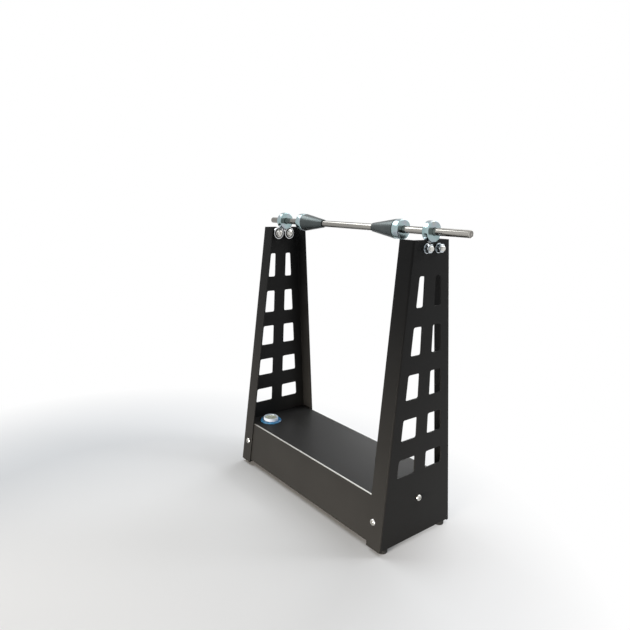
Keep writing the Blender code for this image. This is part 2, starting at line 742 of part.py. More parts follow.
def build_shaft(stand):
    """The rod, its two support rings, and the two cones with their collars. Local Z runs along the rod."""
    along = Matrix.Translation((SHAFT_SHIFT, 0, shaft_height)) @ Matrix.Rotation(QUARTER, 4, "Y")
    shaft = add_empty("shaft_axis", stand, along)
    middle = (ROD_NEAR_REACH - ROD_FAR_REACH) / 2 - SHAFT_SHIFT
    half = rod_length / 2
    rod_end = [(0, half), (ROD_RADIUS - ROD_CHAMFER, half), (ROD_RADIUS, half - ROD_CHAMFER)]
    rod = turned_mesh("rod", rod_end + [(r, -z) for r, z in reversed(rod_end)])
    revolve(add_piece("shaft_rod", rod, "stainless", shaft, Matrix.Translation((0, 0, middle))), BIG_FACETS)
    ring_place = half_length - bearing_middle
    collar_place = ring_place - RING_WIDTH / 2 - COLLAR_FROM_RING - COLLAR_WIDTH / 2
    cone_place = collar_place - COLLAR_WIDTH / 2 - TOUCH_GAP - CONE_LENGTH
    for name, end in ENDS:
        facing = Matrix.Rotation(0 if end > 0 else math.pi, 4, "Y")
        ring = facing @ Matrix.Translation((0, 0, ring_place))
        build_clamp_ring(name + "_support_ring", shaft, ring, RING_WIDTH)
        slide = add_empty(name + "_cone_slide", shaft, facing)
        collar = Matrix.Translation((0, 0, collar_place))
        build_clamp_ring(name + "_cone_collar", slide, collar, COLLAR_WIDTH)
        small_end = Matrix.Translation((0, 0, cone_place))
        cone = add_piece(name + "_cone", cone_mesh(), "turned_steel", slide, small_end)
        revolve(cone, BIG_FACETS)


def even_out_shading():
    """Flat faces keep their own shading beside narrow chamfers."""
    for piece in parts.objects:
        if piece.type == "MESH":
            piece.modifiers.new("shading", "WEIGHTED_NORMAL")


clear_scene()
parts = new_collection("motorcycle_wheel_balancer")
cutters = new_collection("cutters")
stand = add_empty("stand", None, Matrix.Translation((stand_x, 0, stand_z)))
build_base(stand)
build_uprights(stand)
build_panel_screws(stand)
build_feet(stand)
build_level(stand)
for end_name, end in ENDS:
    for side_name, side in SIDES:
        build_bearing_stack(stand, end_name + side_name, end, side)
build_shaft(stand)
even_out_shading()
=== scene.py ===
# %% [markdown]
# # A motorcycle wheel balancer, dressed for its photograph
# The stand, its shaft and its bearings are already built at their real size. This lesson gives them the
# surface of the real thing: powder-coated sheet steel, zinc-plated rings, a ground steel shaft and a small
# bull's-eye level. The first step loads the built model as a fixed frame, in metres.

# %% Load the frame
import math

import bmesh
import bpy
from mathutils import Matrix, Vector


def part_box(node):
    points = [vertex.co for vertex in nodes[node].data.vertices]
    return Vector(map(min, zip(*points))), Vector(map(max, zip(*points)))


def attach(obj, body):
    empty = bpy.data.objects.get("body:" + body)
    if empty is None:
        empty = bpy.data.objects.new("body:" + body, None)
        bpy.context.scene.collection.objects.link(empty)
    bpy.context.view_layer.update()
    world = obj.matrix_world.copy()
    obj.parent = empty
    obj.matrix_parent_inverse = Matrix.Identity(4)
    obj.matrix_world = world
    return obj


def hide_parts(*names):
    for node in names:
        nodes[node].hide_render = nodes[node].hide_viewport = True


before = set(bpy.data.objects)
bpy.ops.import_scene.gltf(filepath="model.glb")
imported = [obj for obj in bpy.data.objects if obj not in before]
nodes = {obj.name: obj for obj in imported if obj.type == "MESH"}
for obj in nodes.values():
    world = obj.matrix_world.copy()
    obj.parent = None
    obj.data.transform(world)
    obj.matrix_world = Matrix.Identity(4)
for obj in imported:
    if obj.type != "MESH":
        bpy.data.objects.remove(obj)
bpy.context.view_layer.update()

# %% [markdown]
# ## The camera
# The photograph was taken from the front right, a little above the shaft. A camera in Blender looks down its
# own -Z with +Y up, so three directions and a place fix it. The picture was cropped off centre, which a lens
# shift repeats without turning the camera: the straight edges then lean exactly as in the photograph.

# %% Place the camera
PICTURE_WIDTH = 630
FOCAL_PIXELS = 552.89
AXIS_PIXEL = (282.58, 261.91)
SENSOR_WIDTH = 36
CAMERA_PLACE = Vector((0.72084, -0.69562, 0.54249))
CAMERA_FORWARD = Vector((-0.79560, 0.59626, -0.10723)).normalized()
CAMERA_RIGHT = Vector((0.59714, 0.80168, 0.02725)).normalized()

camera_data = bpy.data.cameras.new("camera")
camera = bpy.data.objects.new("camera", camera_data)
bpy.context.scene.collection.objects.link(camera)
camera_data.sensor_width = SENSOR_WIDTH
camera_data.lens = FOCAL_PIXELS * SENSOR_WIDTH / PICTURE_WIDTH
camera_data.shift_x = 0.5 - AXIS_PIXEL[0] / PICTURE_WIDTH
camera_data.shift_y = AXIS_PIXEL[1] / PICTURE_WIDTH - 0.5
camera_up = CAMERA_RIGHT.cross(CAMERA_FORWARD)
turn = Matrix((CAMERA_RIGHT, camera_up, -CAMERA_FORWARD)).transposed().to_4x4()
camera.matrix_world = Matrix.Translation(CAMERA_PLACE) @ turn
bpy.context.scene.camera = camera
bpy.context.scene.view_settings.view_transform = "Standard"
print("lens", round(camera_data.lens, 2), "millimetres")

# %% [markdown]
# ## Writing a material as a sum
# A procedural material is a small graph, and most of it is arithmetic. One class wraps a socket so that
# ordinary Python sums add Math nodes, and another holds a material and makes every other kind of node.
# All patterns read Object coordinates, which here are metres, because each piece sits at the origin with its
# place in its mesh.

# %% A socket that can be added and multiplied
class Signal:
    """A shader socket that takes part in sums with other sockets and with numbers."""

    def __init__(self, graph, socket):
        self.graph = graph
        self.socket = socket

    def sum(self, operation, first, second, clamp=False):
        settings = {"operation": operation, "use_clamp": clamp}
        return self.graph.node("ShaderNodeMath", settings, {0: first, 1: second})

    def __add__(self, other):
        return self.sum("ADD", self, other)

    def __radd__(self, other):
        return self.sum("ADD", other, self)

    def __sub__(self, other):
        return self.sum("SUBTRACT", self, other)

    def __rsub__(self, other):
        return self.sum("SUBTRACT", other, self)

    def __mul__(self, other):
        return self.sum("MULTIPLY", self, other)

    def __rmul__(self, other):
        return self.sum("MULTIPLY", other, self)

    def clamped(self):
        """The same value, held between 0 and 1."""
        return self.sum("ADD", self, 0.0, clamp=True)

    def or_else(self, other):
        """The larger of two values."""
        return self.sum("MAXIMUM", self, other)


# %% A graph that makes its own nodes
class Graph:
    """A node tree, and a method that makes any node in it."""

    def __init__(self, tree):
        self.tree = tree

    def connect(self, target, value):
        if isinstance(value, Signal):
            self.tree.links.new(value.socket, target)
        else:
            target.default_value = value

    def node(self, kind, settings=None, inputs=None, output=0):
        made = self.tree.nodes.new(kind)
        for name, value in (settings or {}).items():
            if name == "stops":
                self.set_stops(made.color_ramp.elements, value)
            else:
                setattr(made, name, value)
        for name, value in (inputs or {}).items():
            self.connect(made.inputs[name], value)
        return Signal(self, made.outputs[output])

    def set_stops(self, stops, wanted):
        while len(stops) < len(wanted):
            stops.new(1)
        for stop, (position, colour) in zip(stops, wanted):
            stop.position = position
            stop.color = (*colour, 1)

    def backdrop_seen(self):
        """One where the camera, a reflection or a refraction looks, and zero for the light itself."""
        rays = ("Is Camera Ray", "Is Glossy Ray", "Is Transmission Ray")
        camera_ray, glossy_ray, clear_ray = (self.node("ShaderNodeLightPath", output=ray) for ray in rays)
        return camera_ray.or_else(glossy_ray).or_else(clear_ray)


# %% A material
class Finish(Graph):
    """A material with one Principled shader, and the patterns that the finishes here are made of."""

    def __init__(self, name, colour, roughness, metallic=0.0):
        self.material = bpy.data.materials.new(name)
        self.material.use_nodes = True
        super().__init__(self.material.node_tree)
        self.shader = self.tree.nodes["Principled BSDF"]
        self.put("Base Color", (*colour, 1))
        self.put("Roughness", roughness)
        self.put("Metallic", metallic)
        self.material.diffuse_color = (*colour, 1)

    def put(self, name, value):
        self.connect(self.shader.inputs[name], value)

    def place(self, centre=(0, 0, 0), stretch=(1, 1, 1)):
        """Object coordinates, counted from a centre and stretched along each axis."""
        coordinates = self.node("ShaderNodeTexCoord", output="Object")
        shifted = tuple(-c * s for c, s in zip(centre, stretch))
        inputs = {"Vector": coordinates, "Location": shifted, "Scale": stretch}
        return self.node("ShaderNodeMapping", {}, inputs)

    def noise(self, vector, scale, detail=2.0):
        return self.node("ShaderNodeTexNoise", {}, {"Vector": vector, "Scale": scale, "Detail": detail})

    def lines(self, value, scale, detail=3.0):
        """Noise along one number only, which draws fine parallel or circular lines."""
        settings = {"noise_dimensions": "1D"}
        return self.node("ShaderNodeTexNoise", settings, {"W": value, "Scale": scale, "Detail": detail})

    def distance(self, vector):
        return self.node("ShaderNodeVectorMath", {"operation": "LENGTH"}, {0: vector}, output="Value")

    def blend(self, factor, first, second):
        """A colour between two others, each a colour or the result of another node."""
        first, second = (c if isinstance(c, Signal) else (*c, 1) for c in (first, second))
        settings = {"data_type": "RGBA"}
        # A Mix node keeps sockets for every type of data: 6, 7 and output 2 are those for colours.
        return self.node("ShaderNodeMix", settings, {0: factor, 6: first, 7: second}, output=2)

    def ramp(self, factor, stops):
        return self.node("ShaderNodeValToRGB", {"stops": stops}, {0: factor})

    def turned_away(self, first_darkening=0.5):
        """Zero where a surface faces the viewer, rising to one at its outline."""
        return self.node("ShaderNodeLayerWeight", {}, {"Blend": first_darkening}, output="Facing")

    def bump(self, height, distance, strength=0.6):
        inputs = {"Height": height, "Distance": distance, "Strength": strength}
        self.put("Normal", self.node("ShaderNodeBump", {}, inputs))


# %% [markdown]
# ## Powder coat
# The folded sheet wears a black powder coat: dry paint that was baked on, with the fine orange-peel grain
# that such paint has and a soft sheen. It could be one dark colour with some roughness, but the grain is what
# tells it from plastic, so a fine noise lifts the surface and a broad one varies its sheen. Along the base's
# two long folds a pale line is painted on as bright metal: partly a painted highlight, standing for the light
# that a rounded fold catches, and partly the coat worn thin there. That line is a mask: one near the fold,
# falling to zero a little further off, with a noise that frays it.

# %% Where the base is folded
TOP_BAND = 0.001

base_low, base_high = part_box("base_channel")
base_corners = [v.co for v in nodes["base_channel"].data.vertices]
lowest_half = max(c.y for c in base_corners)
upright_low, upright_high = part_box("near_upright")
upright_corners = [v.co for v in nodes["near_upright"].data.vertices]
half_top = max(c.y for c in upright_corners if c.z > upright_high.z - TOP_BAND)
lean = math.atan((upright_high.y - half_top) / (upright_high.z - upright_low.z))
fold_place = (0, lowest_half - (base_high.z - base_low.z) * math.tan(lean), base_high.z)
print("sides lean", round(math.degrees(lean), 2), "degrees")
print("the base folds at", [round(c, 4) for c in fold_place])

# %% Powder coat
COAT_GRAIN = 1300
COAT_SPECK = COAT_GRAIN / 4
COAT_CLOUD = 14
COAT_GRAIN_HEIGHT = 0.00004
SPECK_SHARE = 0.3
COAT_GLOSS = 0.06
COAT_ROUGHNESS = 0.32
CLOUD_ROUGHNESS = 0.12
GRAIN_ROUGHNESS = 0.06
COAT_DARK = (0.0205, 0.0203, 0.0200)
COAT_LIGHT = (0.0285, 0.0283, 0.0280)
# Painted highlight along the base's folds, partly coat worn thin: its reach, edge, fray and colour.
FOLD_LINE_REACH = 0.0021
FOLD_LINE_EDGE = 0.0007
FOLD_LINE_FRAY = 420
FOLD_HIGHLIGHT_AND_WEAR_COLOUR = (0.32, 0.32, 0.305)


def fold_highlight_and_wear(coat):
    """Painted highlight, partly coat worn thin: one along the two long folds of the base, zero elsewhere."""
    across = coat.node("ShaderNodeVectorMath", {"operation": "ABSOLUTE"}, {0: coat.place()})
    centred = coat.node("ShaderNodeVectorMath", {"operation": "SUBTRACT"}, {0: across, 1: fold_place})
    flattened = coat.node("ShaderNodeVectorMath", {"operation": "MULTIPLY"}, {0: centred, 1: (0, 1, 1)})
    fray = coat.noise(coat.place(), FOLD_LINE_FRAY, detail=3)
    reach = FOLD_LINE_REACH - coat.distance(flattened) + (fray - 0.5) * FOLD_LINE_EDGE
    return (reach * (1 / FOLD_LINE_EDGE)).clamped()


def powder_coat(name, highlighted_folds=False):
    """Black powder coat with its grain, and for the base a bright line painted along its two folds."""
    coat = Finish(name, COAT_LIGHT, roughness=0.4)
    place = coat.place()
    cloud = coat.noise(place, COAT_CLOUD, detail=4)
    grain = coat.noise(place, COAT_GRAIN)
    speck = coat.noise(place, COAT_SPECK, detail=1)
    colour = coat.blend(cloud, COAT_DARK, COAT_LIGHT)
    if highlighted_folds:
        # The fold line is partly a painted highlight and partly coat worn thin: bright metal colour on the
        # folds.
        bright = fold_highlight_and_wear(coat)
        colour = coat.blend(bright, colour, FOLD_HIGHLIGHT_AND_WEAR_COLOUR)
        coat.put("Metallic", bright)
    coat.put("Base Color", colour)
    coat.put("Roughness", COAT_ROUGHNESS + cloud * CLOUD_ROUGHNESS + grain * GRAIN_ROUGHNESS)
    coat.put("Specular IOR Level", COAT_GLOSS)
    coat.bump(grain * (1 - SPECK_SHARE) + speck * SPECK_SHARE, COAT_GRAIN_HEIGHT)
    return coat.material


coats = {
    "base_channel": powder_coat("powder_coat_base", highlighted_folds=True),
    "near_upright": powder_coat("powder_coat"),
}
coats["far_upright"] = coats["near_upright"]
print("made", sorted({coat.name for coat in coats.values()}))

# %% [markdown]
# ## Plated and turned metals
# Zinc plating on a turned ring keeps the fine rings that the lathe left, and its passivated film shifts
# between blue, violet and straw. The lathe's rings run round the part's own axis, so the pattern reads the
# distance from that axis on the faces, and the place along it on the rim. One function makes the lines for
# every turned metal, and each finish adds its own colours. In a room the outline of a bright rod or ring
# mirrors what is dark beside it. All around this stand is white, so rod and rings would fade into the
# background, and both finishes get a painted dark reflection: their colour darkens a little where the
# surface turns away from the viewer.

# %% Lines that a lathe leaves
LATHE_LINES = 2600


def lathe_lines(finish, centre):
    """Fine rings round an axis along X through a centre."""
    radius = finish.distance(finish.place(centre, (0, 1, 1)))
    depth = finish.distance(finish.place(centre, (1, 0, 0)))
    return finish.lines(radius + depth, LATHE_LINES)


# %% Zinc plating
ZINC_FILM = (
    (0.30, (0.32, 0.44, 0.45)),
    (0.48, (0.39, 0.50, 0.51)),
    (0.62, (0.42, 0.45, 0.50)),
    (0.78, (0.47, 0.48, 0.40)),
)
ZINC_TONE = (0.46, 0.55, 0.58)
ZINC_FILM_SCALE = 55
ZINC_LINE_HEIGHT = 0.00004
# Painted reflection: the dark colour and share that stand for surroundings mirrored at the outline.
ZINC_PAINTED_REFLECTION = (0.15, 0.20, 0.21)
ZINC_PAINTED_REFLECTION_SHARE = 0.65
ZINC_ROUGHNESS = 0.12
ZINC_LINE_ROUGHNESS = 0.10
ZINC_FILM_ROUGHNESS = 0.05


def zinc(name, centre):
    """Zinc plating over turned steel, with its coloured film and a dark reflection painted along its outline.
    """
    plate = Finish(name, ZINC_TONE, roughness=0.26, metallic=1.0)
    film = plate.noise(plate.place(), ZINC_FILM_SCALE)
    lines = lathe_lines(plate, centre)
    # Painted reflection: the colour darkens towards the outline, standing for dark surroundings mirrored
    # there.
    edge = plate.turned_away() * ZINC_PAINTED_REFLECTION_SHARE
    plate.put("Base Color", plate.blend(edge, plate.ramp(film, ZINC_FILM), ZINC_PAINTED_REFLECTION))
    plate.put("Roughness", ZINC_ROUGHNESS + lines * ZINC_LINE_ROUGHNESS + film * ZINC_FILM_ROUGHNESS)
    plate.bump(lines, ZINC_LINE_HEIGHT)
    return plate.material


# %% Ground shaft steel
SHAFT_DARK = (0.42, 0.405, 0.37)
SHAFT_LIGHT = (0.54, 0.525, 0.49)
# Painted reflection: the dark colour, width and share that stand for surroundings mirrored at the outline.
SHAFT_PAINTED_REFLECTION = (0.070, 0.066, 0.060)
SHAFT_PAINTED_REFLECTION_WIDTH = 0.78
SHAFT_PAINTED_REFLECTION_SHARE = 0.85
SHAFT_WEAR_SCALE = 90
SHAFT_WEAR_STRETCH = (0.25, 1, 1)
SHAFT_LINE_HEIGHT = 0.000004
SHAFT_ROUGHNESS = 0.12
SHAFT_LINE_ROUGHNESS = 0.03
SHAFT_WEAR_ROUGHNESS = 0.05


def ground_steel(name, centre):
    """A centreless-ground shaft: bright, a little warm, very finely lined, with a painted dark reflection at
    its outline.
    """
    steel = Finish(name, SHAFT_DARK, roughness=0.2, metallic=1.0)
    lines = lathe_lines(steel, centre)
    wear = steel.noise(steel.place(stretch=SHAFT_WEAR_STRETCH), SHAFT_WEAR_SCALE, detail=3)
    tone = steel.blend(wear, SHAFT_DARK, SHAFT_LIGHT)
    # Painted reflection: the colour darkens towards the outline, standing for dark surroundings mirrored
    # there.
    edge = steel.turned_away(SHAFT_PAINTED_REFLECTION_WIDTH) * SHAFT_PAINTED_REFLECTION_SHARE
    steel.put("Base Color", steel.blend(edge, tone, SHAFT_PAINTED_REFLECTION))
    steel.put("Roughness", SHAFT_ROUGHNESS + lines * SHAFT_LINE_ROUGHNESS + wear * SHAFT_WEAR_ROUGHNESS)
    steel.bump(lines, SHAFT_LINE_HEIGHT, strength=0.4)
    return steel.material


# %% Dark turned steel
CONE_TONE = (0.075, 0.087, 0.087)
CONE_DARK = (0.055, 0.065, 0.065)
CONE_LIGHT = (0.095, 0.108, 0.108)
CONE_CLOUD_SCALE = 40
CONE_LINE_HEIGHT = 0.00006
CONE_ROUGHNESS = 0.26
CONE_LINE_ROUGHNESS = 0.14
CONE_CLOUD_ROUGHNESS = 0.08


def turned_steel(name, centre):
    """The cones: dark, oiled steel straight from the lathe, with rings that a fingernail would feel."""
    steel = Finish(name, CONE_TONE, roughness=0.34, metallic=1.0)
    lines = lathe_lines(steel, centre)
    cloud = steel.noise(steel.place(), CONE_CLOUD_SCALE, detail=3)
    steel.put("Base Color", steel.blend(cloud, CONE_DARK, CONE_LIGHT))
    steel.put("Roughness", CONE_ROUGHNESS + lines * CONE_LINE_ROUGHNESS + cloud * CONE_CLOUD_ROUGHNESS)
    steel.bump(lines, CONE_LINE_HEIGHT)
    return steel.material


# %% Stainless fasteners and bearing steel
SMALL_CLOUD_SCALE = 260
SMALL_CLOUD_ROUGHNESS = 0.12


def names(*things):
    return [thing.name for thing in things]


def small_steel(name, dark, light, roughness):
    """A small bright part, without a lathe's lines: only its tone and its gloss vary."""
    steel = Finish(name, light, roughness, metallic=1.0)
    tone = steel.noise(steel.place(), SMALL_CLOUD_SCALE)
    steel.put("Base Color", steel.blend(tone, dark, light))
    steel.put("Roughness", roughness + tone * SMALL_CLOUD_ROUGHNESS)
    return steel.material


stainless = small_steel("stainless", (0.56, 0.55, 0.52), (0.70, 0.69, 0.66), 0.16)
bearing_steel = small_steel("bearing_steel", (0.46, 0.47, 0.48), (0.60, 0.61, 0.62), 0.10)
fastener_zinc = small_steel("fastener_zinc", (0.46, 0.50, 0.53), (0.62, 0.66, 0.69), 0.20)
print("made", names(stainless, bearing_steel, fastener_zinc))

# %% [markdown]
# ## Rubber, seals and the level's plastics
# These are not metal, so their colour is their own and the highlight is white. Rubber is matt with a fine
# grain, the level's flange is a glossy blue, and its cup a satin silver.

# %% Rubber and plastics
GRAINS_IN_A_CLOUD = 8
SOFT_CLOUD_ROUGHNESS = 0.1


def soft_finish(name, dark, light, roughness, grain, height):
    """A non-metal whose tone varies a little, with a grain of a given fineness and height."""
    finish = Finish(name, light, roughness)
    place = finish.place()
    tone = finish.noise(place, grain / GRAINS_IN_A_CLOUD, detail=3)
    finish.put("Base Color", finish.blend(tone, dark, light))
    finish.put("Roughness", roughness + tone * SOFT_CLOUD_ROUGHNESS)
    finish.bump(finish.noise(place, grain), height, strength=0.5)
    return finish.material


rubber = soft_finish("rubber", (0.012, 0.012, 0.012), (0.022, 0.022, 0.021), 0.72, 1800, 0.00005)
seal = soft_finish("seal", (0.018, 0.017, 0.016), (0.030, 0.028, 0.026), 0.45, 2400, 0.00002)
blue_plastic = soft_finish("blue_plastic", (0.030, 0.150, 0.330), (0.050, 0.230, 0.460), 0.22, 900, 0.00001)
level_silver = soft_finish("level_silver", (0.56, 0.65, 0.78), (0.70, 0.78, 0.90), 0.26, 900, 0.00001)
mark = soft_finish("level_mark", (0.020, 0.020, 0.020), (0.040, 0.040, 0.038), 0.40, 900, 0.00001)
print("made", names(rubber, seal, blue_plastic, level_silver, mark))

# %% The level's liquid and its clear dome
VIAL_CLOUD_SCALE = 180
VIAL_TINT_SHARE = 0.9
VIAL_IOR = 1.45


def vial_finish(name, colour, roughness, transmission, alpha=1.0):
    """A glossy part of the vial, tinted a little, that may let light through."""
    vial_part = Finish(name, colour, roughness)
    tone = vial_part.noise(vial_part.place(), VIAL_CLOUD_SCALE)
    tint = tuple(VIAL_TINT_SHARE * c for c in colour)
    vial_part.put("Base Color", vial_part.blend(tone, tint, colour))
    vial_part.put("Transmission Weight", transmission)
    vial_part.put("IOR", VIAL_IOR)
    vial_part.put("Alpha", alpha)
    return vial_part.material


dome_clear = vial_finish("vial_clear", (0.97, 0.98, 0.95), 0.03, 1.0, 0.25)
liquid = vial_finish("vial_liquid", (0.76, 0.79, 0.62), 0.12, 0.0)
bubble_pale = vial_finish("vial_bubble", (0.82, 0.84, 0.74), 0.05, 0.0)
print("made", names(dome_clear, liquid, bubble_pale))

# %% [markdown]
# ## Reading a round part off the frame
# Nearly every small part here is turned. Its built solid has few facets, so a smoother one takes its place,
# at the same size. The size isn't typed again: a round node's own corners give its axis, its length, and its
# outline as pairs of a radius and a height.

# %% A round node's axis and outline
ROUNDING_PLACES = 6
LOW_SHARE = 0.12
SLACK = 0.0001


class Round:
    """A round node's place, with Z along its axis and zero at its lower end, and its sizes."""

    def __init__(self, node, direction):
        direction = Vector(direction).normalized()
        corners = nodes[node].data.vertices
        spots = [Vector(s) for s in {tuple(round(c, ROUNDING_PLACES) for c in v.co) for v in corners}]
        middle = sum(spots, Vector()) / len(spots)
        reach = [(spot - middle).dot(direction) for spot in spots]
        start = middle + direction * min(reach)
        turn = direction.to_track_quat("Z", "Y").to_matrix().to_4x4()
        self.node = node
        self.start = start
        self.place = Matrix.Translation(start) @ turn
        self.length = max(reach) - min(reach)
        local = [self.place.inverted() @ spot for spot in spots]
        self.outline = [(math.hypot(p.x, p.y), p.z) for p in local]
        self.radius = max(radius for radius, height in self.outline)
        self.bore = min(radius for radius, height in self.outline)
        widest = max(local, key=lambda p: math.hypot(p.x, p.y))
        self.corner_angle = math.atan2(widest.y, widest.x)

    def low_radius(self):
        """The largest radius near the lower end, such as a screw's shank just above its tip."""
        return max(r for r, h in self.outline if h < LOW_SHARE * self.length)

    def lowest_at(self, radius):
        """How high the outline first reaches a radius."""
        return min(h for r, h in self.outline if r > radius - SLACK)


rod_size = Round("shaft_rod", (1, 0, 0))
shaft_centre = (0, rod_size.start.y, rod_size.start.z)
print("shaft axis at", [round(c, 5) for c in shaft_centre], "radius", round(rod_size.radius, 4))

# %% [markdown]
# ## Turning an outline
# A lathe part is an outline spun round its axis. The spin operator does just that, and needs its ends merged.
# Its edges are then bevelled a little, because no real edge is perfectly sharp, and the highlight that runs
# along a bevel is what makes an edge readable.

# %% Spin, soften and finish a piece
WELD = 0.000001
SMOOTH_ANGLE = math.radians(32)
FINE_STEPS = 72
SMALL_STEPS = 48


def spun(outline, steps=FINE_STEPS, closed=False):
    """A bmesh made by spinning pairs of a radius and a height once round Z."""
    bm = bmesh.new()
    corners = [bm.verts.new((radius, 0, height)) for radius, height in outline]
    edges = [bm.edges.new(pair) for pair in zip(corners, corners[1:])]
    if closed:
        edges.append(bm.edges.new((corners[-1], corners[0])))
    bmesh.ops.spin(
        bm,
        geom=corners + edges,
        cent=(0, 0, 0),
        axis=(0, 0, 1),
        angle=math.tau,
        steps=steps,
        use_merge=True,
        use_duplicate=False,
    )
    bmesh.ops.remove_doubles(bm, verts=bm.verts, dist=WELD)
    bmesh.ops.recalc_face_normals(bm, faces=bm.faces)
    return bm


def soften(bm, width, segments=2, angle=SMOOTH_ANGLE):
    """Round off every edge that is sharper than an angle."""
    sharp = [edge for edge in bm.edges if edge.is_manifold and edge.calc_face_angle() > angle]
    bmesh.ops.bevel(
        bm,
        geom=sharp,
        offset=width,
        segments=segments,
        profile=0.5,
        affect="EDGES",
        clamp_overlap=True,
        material=-1,
    )
    return bm


def add_piece(name, bm, material, body, place=Matrix(), stands_for=()):
    """Make a finished object of a bmesh, hang it on the body that carries it, and hide the nodes it stands
    for.
    """
    bm.transform(place)
    mesh = bpy.data.meshes.new(name)
    bm.to_mesh(mesh)
    bm.free()
    mesh.shade_smooth()
    mesh.set_sharp_from_angle(angle=SMOOTH_ANGLE)
    mesh.materials.append(material)
    piece = bpy.data.objects.new(name, mesh)
    bpy.context.scene.collection.objects.link(piece)
    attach(piece, body)
    if stands_for:
        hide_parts(*stands_for)
    return piece


# %% [markdown]
# ## Cutting one shape with another
# Hexagonal sockets and drilled holes are cut with a Boolean. The cutter exists only while it cuts: the result
# is read back into a bmesh, and both helpers are removed, so no live modifier is left behind.

# %% A Boolean that leaves nothing behind
def helper_object(bm):
    mesh = bpy.data.meshes.new("helper")
    bm.to_mesh(mesh)
    bm.free()
    helper = bpy.data.objects.new("helper", mesh)
    bpy.context.scene.collection.objects.link(helper)
    return helper


def carved(bm, tool, operation="DIFFERENCE"):
    """The first shape, cut by the second."""
    shape, cutter = helper_object(bm), helper_object(tool)
    cut = shape.modifiers.new("cut", "BOOLEAN")
    cut.operation = operation
    cut.solver = "EXACT"
    cut.object = cutter
    bpy.context.view_layer.update()
    result = bmesh.new()
    result.from_object(shape, bpy.context.evaluated_depsgraph_get())
    for helper in (shape, cutter):
        bpy.data.meshes.remove(helper.data)
    return result


def prism(sides, radius, low, high, place=Matrix()):
    """An upright bar with any number of sides."""
    bm = bmesh.new()
    middle = Matrix.Translation((0, 0, (low + high) / 2))
    bmesh.ops.create_cone(
        bm,
        cap_ends=True,
        segments=sides,
        radius1=radius,
        radius2=radius,
        depth=high - low,
        matrix=place @ middle,
    )
    return bm


# %% [markdown]
# ## The folded sheet
# The uprights and the base already have their true shape. What they lack is the edge: a laser-cut sheet that
# has been powder coated has a soft rim, which catches the light as a thin bright line. Their meshes come as
# loose triangles, so a copy is merged, its flat faces are joined again, and only then are its edges rounded.

# %% Refine the folded sheet
SHEET_EDGE = 0.00045
SHEET_WELD = 10 * WELD
FLAT_ANGLE = math.radians(1)
RIM_ANGLE = math.radians(50)
SHEET_NODES = ("base_channel", "near_upright", "far_upright")


def merged_copy(node):
    """A built mesh as one closed surface, with its flat faces joined."""
    bm = bmesh.new()
    bm.from_mesh(nodes[node].data)
    bmesh.ops.remove_doubles(bm, verts=bm.verts, dist=SHEET_WELD)
    bmesh.ops.recalc_face_normals(bm, faces=bm.faces)
    bmesh.ops.dissolve_limit(bm, angle_limit=FLAT_ANGLE, verts=bm.verts, edges=bm.edges)
    return bm


for node in SHEET_NODES:
    sheet = soften(merged_copy(node), SHEET_EDGE, 3, RIM_ANGLE)
    piece = add_piece(node + "_coated", sheet, coats[node], "stand", stands_for=[node])
    piece.modifiers.new("flat faces", "WEIGHTED_NORMAL").keep_sharp = True
    print(piece.name, len(piece.data.polygons), "faces")

# %% [markdown]
# ## The shaft
# One ground bar with turned ends: each has a chamfer and the small cone-shaped hole that the lathe's centre
# left.

# %% Turn the shaft
CENTRE_HOLE_RADIUS = 0.0016
CENTRE_HOLE_DEPTH = 0.0018
ROD_CHAMFER = 0.001
ROD_EDGE = 0.00015


def shaft_outline(size):
    """From one centre hole over the rim of its end to the other."""
    end = [
        (0, size.length - CENTRE_HOLE_DEPTH),
        (CENTRE_HOLE_RADIUS, size.length),
        (size.radius - ROD_CHAMFER, size.length),
        (size.radius, size.length - ROD_CHAMFER),
    ]
    return end + [(r, size.length - h) for r, h in reversed(end)]


rod = soften(spun(shaft_outline(rod_size)), ROD_EDGE)
shaft_steel = ground_steel("shaft_steel", shaft_centre)
add_piece("shaft_rod_ground", rod, shaft_steel, "shaft", rod_size.place, ["shaft_rod"])
print("shaft length", round(rod_size.length, 4), "radius", round(rod_size.radius, 4))

# %% [markdown]
# ## Rings and collars
# Four zinc-plated rings are clamped on the shaft, each by a set screw in a radial hole. In the photograph
# their rims are well rounded, and their flat faces show the lathe's rings. The hole is cut after the spin.

# %% Turn the rings and sink their set screws
RING_ROUNDING_SHARE = 0.16
RING_CLEARANCE = 0.0001
RING_BORE_CHAMFER = 0.0006
HOLE_CHAMFER = 0.0004
SET_SCREW_GAP = 0.00015
HEXAGON = 6
SOCKET_WIDTH_SHARE = 0.6
SOCKET_FLOOR_SHARE = 0.55
SOCKET_TOP_SHARE = 1.5
ROUND_STEPS = 6
ENDS = (("near", 1), ("far", -1))


def quarter_round(radius, height, rounding, steps=ROUND_STEPS):
    """Points of an outline that turns from a flat top down onto a rim."""
    angles = [math.pi / 2 * (1 - step / steps) for step in range(steps + 1)]
    centre = (radius - rounding, height - rounding)
    return [(centre[0] + rounding * math.cos(a), centre[1] + rounding * math.sin(a)) for a in angles]


def ring_outline(size):
    """A ring with rounded rims and a bore that is chamfered at both ends."""
    rounding = RING_ROUNDING_SHARE * size.length
    top = [(size.bore + RING_BORE_CHAMFER, size.length), *quarter_round(size.radius, size.length, rounding)]
    bore = [(size.bore, size.length - RING_BORE_CHAMFER), (size.bore, RING_BORE_CHAMFER)]
    return top + [(r, size.length - h) for r, h in reversed(top)] + bore[::-1]


def set_screw(size):
    """A headless screw with a hexagonal socket, a little smaller than its hole."""
    radius = size.radius
    top = [(0, size.length), (radius - HOLE_CHAMFER, size.length), (radius, size.length - HOLE_CHAMFER)]
    outline = [*top, (radius, 0), (0, 0)]
    low, high = SOCKET_FLOOR_SHARE * size.length, SOCKET_TOP_SHARE * size.length
    return carved(spun(outline, SMALL_STEPS), prism(HEXAGON, SOCKET_WIDTH_SHARE * radius, low, high))


